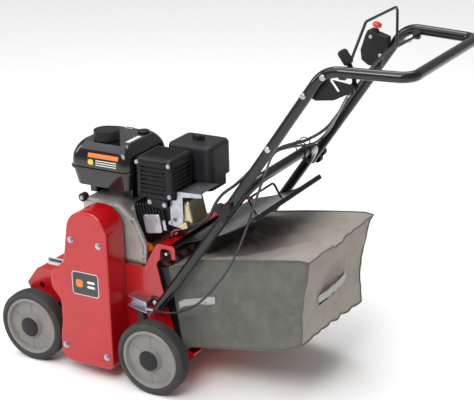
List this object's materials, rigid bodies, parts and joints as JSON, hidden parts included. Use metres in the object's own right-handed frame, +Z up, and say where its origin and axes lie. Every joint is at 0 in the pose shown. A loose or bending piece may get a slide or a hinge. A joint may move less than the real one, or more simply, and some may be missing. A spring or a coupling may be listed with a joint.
{
  "type": "lawn dethatcher",
  "caption": "Walk-behind petrol lawn dethatcher with a bladed rotor, folding handle, depth lever, control bail and lift-off grass bag.",
  "frame": {"origin": "on the floor, at the middle of the machine's overall length and width", "axes": "+X towards the operator at the rear, -Y towards the belt cover on the machine's left, +Z up"},
  "size_m": [1.188, 0.602, 0.9925],
  "materials": {
    "red": "gloss",
    "orange_red": "gloss",
    "black_tube": "gloss",
    "dark_steel": "matte",
    "zinc": "satin",
    "steel": "satin",
    "belt": "matte",
    "tyre": "matte",
    "rim": "satin",
    "casting": "cast",
    "chromate": "satin",
    "black_sheet": "gloss",
    "tank_black": "gloss",
    "black_plastic": "satin",
    "orange_plastic": "gloss",
    "red_plastic": "gloss",
    "cable": "satin",
    "bag_cloth": "woven"
  },
  "bodies": {
    "chassis": {"deck_housing": "red", "rear_skirt": "orange_red", "side_plate_left": "red", "side_plate_right": "red", "belt_cover": "red", "belt_backplate": "dark_steel", "chassis_bolts": "zinc", "rear_axle": "zinc", "rotor_bearings": "casting", "drive_belt": "belt", "flap_hinge_rod": "zinc", "lower_handle": "black_tube", "crankcase_cover": "casting", "cylinder_block": "casting", "valve_cover": "chromate", "heat_deflector": "zinc", "muffler": "dark_steel", "muffler_guard": "black_sheet", "fuel_tank": "tank_black", "air_cleaner": "black_plastic", "carburettor": "casting", "recoil_shroud": "black_sheet", "depth_channel": "zinc", "depth_cable": "cable", "clutch_cable": "cable"},
    "rotor": {"rotor_shaft": "steel", "rotor_knives": "dark_steel"},
    "crank": {"crankshaft": "steel", "engine_pulley": "casting"},
    "tensioner": {"tensioner_arm": "dark_steel"},
    "idler": {"idler_pulley": "black_plastic"},
    "front_axle_frame": {"front_axle": "black_tube"},
    "depth_crank": {"depth_arm": "dark_steel"},
    "depth_rod": {"depth_link": "dark_steel"},
    "upper_handle": {"upper_handlebar": "black_tube", "quadrant_plate": "black_sheet", "handlebar_bolts": "zinc", "switch_box": "black_plastic"},
    "knob_left": {"wing_knob_left": "black_plastic"},
    "knob_right": {"wing_knob_right": "black_plastic"},
    "bail": {"control_bail": "black_sheet"},
    "kill_button": {"stop_button": "red_plastic"},
    "height_lever": {"depth_lever": "black_plastic"},
    "flap": {"discharge_flap": "black_sheet", "flap_handle": "black_sheet"},
    "bag": {"grass_bag": "bag_cloth", "bag_frame": "black_sheet"},
    "tank_cap": {"fuel_cap": "black_plastic"},
    "oil_dipstick": {"dipstick": "orange_plastic"},
    "cleaner_knob": {"air_knob": "black_plastic"},
    "starter_grip": {"recoil_grip": "black_plastic"},
    "throttle": {"throttle_lever": "black_plastic"},
    "wheel_front_left": {"tyre_front_left": "tyre", "rim_front_left": "rim"},
    "wheel_front_right": {"tyre_front_right": "tyre", "rim_front_right": "rim"},
    "wheel_rear_left": {"tyre_rear_left": "tyre", "rim_rear_left": "rim"},
    "wheel_rear_right": {"tyre_rear_right": "tyre", "rim_rear_right": "rim"}
  },
  "joints": [
    {"name": "front_axle_swing", "type": "hinge", "parent": "chassis", "child": "front_axle_frame", "pos_m": [-0.43, 0, 0.15], "axis": [0, 1, 0], "range_deg": [-6, 12.5]},
    {"name": "wheel_front_left_spin", "type": "hinge", "parent": "front_axle_frame", "child": "wheel_front_left", "pos_m": [-0.494, -0.2505, 0.1], "axis": [0, 1, 0], "continuous": true},
    {"name": "wheel_front_right_spin", "type": "hinge", "parent": "front_axle_frame", "child": "wheel_front_right", "pos_m": [-0.494, 0.2505, 0.1], "axis": [0, 1, 0], "continuous": true},
    {"name": "wheel_rear_left_spin", "type": "hinge", "parent": "chassis", "child": "wheel_rear_left", "pos_m": [-0.092, -0.2775, 0.1], "axis": [0, 1, 0], "continuous": true},
    {"name": "wheel_rear_right_spin", "type": "hinge", "parent": "chassis", "child": "wheel_rear_right", "pos_m": [-0.092, 0.2775, 0.1], "axis": [0, 1, 0], "continuous": true},
    {"name": "rotor_spin", "type": "hinge", "parent": "chassis", "child": "rotor", "pos_m": [-0.292, 0, 0.1], "axis": [0, 1, 0], "continuous": true},
    {"name": "crank_spin", "type": "hinge", "parent": "chassis", "child": "crank", "pos_m": [-0.272, -0.12, 0.412], "axis": [0, 1, 0], "continuous": true},
    {"name": "bail_squeeze", "type": "hinge", "parent": "upper_handle", "child": "bail", "pos_m": [0.418, 0, 0.889], "axis": [0, 1, 0], "range_deg": [0, 78], "stiffness_Nm_per_rad": 0.35, "springref_deg": -28.65, "deforming": ["clutch_cable"]},
    {"name": "tensioner_swing", "type": "hinge", "parent": "chassis", "child": "tensioner", "pos_m": [-0.372, -0.238, 0.268], "axis": [0, 1, 0], "range_deg": [-5.5, 0]},
    {"name": "idler_spin", "type": "hinge", "parent": "tensioner", "child": "idler", "pos_m": [-0.346, -0.252, 0.218], "axis": [0, 1, 0], "continuous": true},
    {"name": "depth_lever_swing", "type": "hinge", "parent": "upper_handle", "child": "height_lever", "pos_m": [0.442, -0.204, 0.866], "axis": [0, 1, 0], "range_deg": [-12, 25], "deforming": ["depth_cable"]},
    {"name": "depth_crank_turn", "type": "hinge", "parent": "chassis", "child": "depth_crank", "pos_m": [-0.165, -0.2, 0.15], "axis": [0, 1, 0], "range_deg": [-6, 12.5]},
    {"name": "depth_rod_pivot", "type": "hinge", "parent": "depth_crank", "child": "depth_rod", "pos_m": [-0.165, -0.196, 0.19], "axis": [0, 1, 0], "range_deg": [-12.5, 6]},
    {"name": "handle_fold", "type": "hinge", "parent": "chassis", "child": "upper_handle", "pos_m": [0.12, 0, 0.528], "axis": [0, 1, 0], "range_deg": [-110, 0], "deforming": ["depth_cable", "clutch_cable"]},
    {"name": "knob_left_turn", "type": "hinge", "parent": "chassis", "child": "knob_left", "pos_m": [0.12, -0.255, 0.528], "axis": [0, 1, 0], "range_deg": [0, 360]},
    {"name": "knob_right_turn", "type": "hinge", "parent": "chassis", "child": "knob_right", "pos_m": [0.12, 0.255, 0.528], "axis": [0, 1, 0], "range_deg": [0, 360]},
    {"name": "stop_press", "type": "slide", "parent": "upper_handle", "child": "kill_button", "axis": [-0.3057, 0, -0.9521], "range_m": [0, 0.005], "stiffness_N_per_m": 300, "springref_m": -0.002},
    {"name": "flap_lift", "type": "hinge", "parent": "chassis", "child": "flap", "pos_m": [-0.086, 0, 0.362], "axis": [0, 1, 0], "range_deg": [-16, 0]},
    {"name": "bag_unhook", "type": "slide", "parent": "chassis", "child": "bag", "axis": [0.97, 0, 0.243], "range_m": [0, 0.35]},
    {"name": "fuel_cap_turn", "type": "hinge", "parent": "chassis", "child": "tank_cap", "pos_m": [-0.296, -0.14, 0.64], "axis": [0, 0, 1], "range_deg": [0, 90]},
    {"name": "dipstick_turn", "type": "hinge", "parent": "chassis", "child": "oil_dipstick", "pos_m": [-0.166, -0.172, 0.351], "axis": [0.7001, 0, 0.7141], "range_deg": [0, 360]},
    {"name": "cleaner_knob_turn", "type": "hinge", "parent": "chassis", "child": "cleaner_knob", "pos_m": [-0.097, -0.008, 0.618], "axis": [0, 0, 1], "range_deg": [0, 360]},
    {"name": "starter_pull", "type": "slide", "parent": "chassis", "child": "starter_grip", "axis": [-1, 0, 0], "range_m": [0, 0.35], "stiffness_N_per_m": 25, "springref_m": -0.08},
    {"name": "throttle_turn", "type": "hinge", "parent": "chassis", "child": "throttle", "pos_m": [-0.092, -0.027, 0.452], "axis": [0, 1, 0], "range_deg": [-20, 20]}
  ],
  "couplings": [
    {"joint": "crank_spin", "follows": "rotor_spin", "ratio": 1.5385},
    {"joint": "tensioner_swing", "follows": "bail_squeeze", "ratio": -0.0705},
    {"joint": "depth_lever_swing", "follows": "front_axle_swing", "ratio": 2},
    {"joint": "depth_crank_turn", "follows": "front_axle_swing", "ratio": 1},
    {"joint": "depth_rod_pivot", "follows": "front_axle_swing", "ratio": -1}
  ]
}
